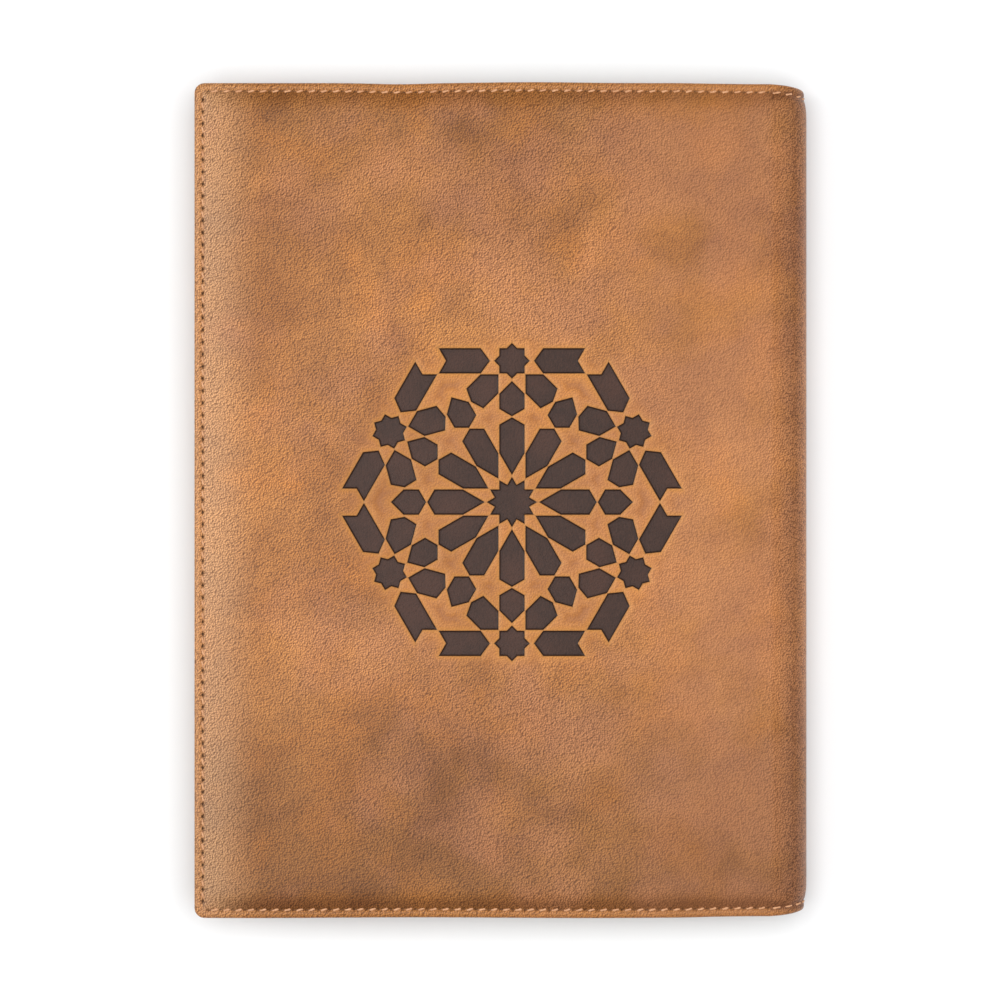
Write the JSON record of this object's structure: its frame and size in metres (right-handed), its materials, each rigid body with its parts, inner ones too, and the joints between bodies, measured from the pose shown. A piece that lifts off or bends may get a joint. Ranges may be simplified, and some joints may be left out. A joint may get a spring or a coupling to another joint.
{
  "type": "leather notebook cover",
  "caption": "Padded leather cover with a pressed star rosette, sewn edges and a rounded spine, opening flat on inner sleeves that hold a case-bound notebook",
  "frame": {"origin": "middle of the closed outline, on the surface the cover rests on", "axes": "+X to the spine, +Y to the head of the notebook, +Z out of the decorated front cover"},
  "size_m": [0.1616, 0.22, 0.02],
  "materials": {
    "cover_leather": "mottled pull-up leather",
    "lining": "thin matte lining leather",
    "thread": "waxed thread",
    "stiffener": "pressed fibre board",
    "notebook_board": "cloth-covered board",
    "notebook_cloth": "book cloth",
    "endpaper": "uncoated endpaper",
    "page_paper": "uncoated cream paper",
    "mull": "open gauze",
    "headband": "woven band"
  },
  "bodies": {
    "back_cover": {"back_leather": "cover_leather", "back_stiffener": "stiffener", "back_lining": "lining", "back_sleeve": "cover_leather", "back_top_thread": "thread", "back_bobbin_thread": "thread", "notebook_back_board": "notebook_board", "notebook_back_pastedown": "endpaper", "notebook_groove_back": "notebook_cloth", "gathering_1": "page_paper", "gathering_2": "page_paper", "gathering_3": "page_paper", "gathering_4": "page_paper", "gathering_5": "page_paper", "gathering_6": "page_paper", "spine_mull": "mull", "headband_head": "headband", "headband_tail": "headband"},
    "spine_back": {"spine_leather_back": "cover_leather", "spine_lining_back": "lining", "spine_thread_back": "thread", "notebook_joint_back": "notebook_cloth"},
    "spine_middle": {"spine_leather_middle": "cover_leather", "spine_lining_middle": "lining", "spine_thread_middle": "thread", "notebook_spine_strip": "notebook_board"},
    "spine_front": {"spine_leather_front": "cover_leather", "spine_lining_front": "lining", "spine_thread_front": "thread", "notebook_joint_front": "notebook_cloth"},
    "front_cover": {"front_leather": "cover_leather", "front_stiffener": "stiffener", "front_lining": "lining", "front_sleeve": "cover_leather", "front_top_thread": "thread", "front_bobbin_thread": "thread", "notebook_front_board": "notebook_board", "notebook_front_pastedown": "endpaper", "notebook_groove_front": "notebook_cloth"}
  },
  "joints": [
    {"name": "back_fold", "type": "hinge", "parent": "back_cover", "child": "spine_back", "pos_m": [0.07489, 0, 0], "axis": [0, 1, 0], "range_deg": [0, 45]},
    {"name": "lower_spine_fold", "type": "hinge", "parent": "spine_back", "child": "spine_middle", "pos_m": [0.08075, 0, 0.00586], "axis": [0, 1, 0], "range_deg": [0, 45]},
    {"name": "upper_spine_fold", "type": "hinge", "parent": "spine_middle", "child": "spine_front", "pos_m": [0.08075, 0, 0.01414], "axis": [0, 1, 0], "range_deg": [0, 45]},
    {"name": "front_fold", "type": "hinge", "parent": "spine_front", "child": "front_cover", "pos_m": [0.07489, 0, 0.02], "axis": [0, 1, 0], "range_deg": [0, 45]}
  ]
}
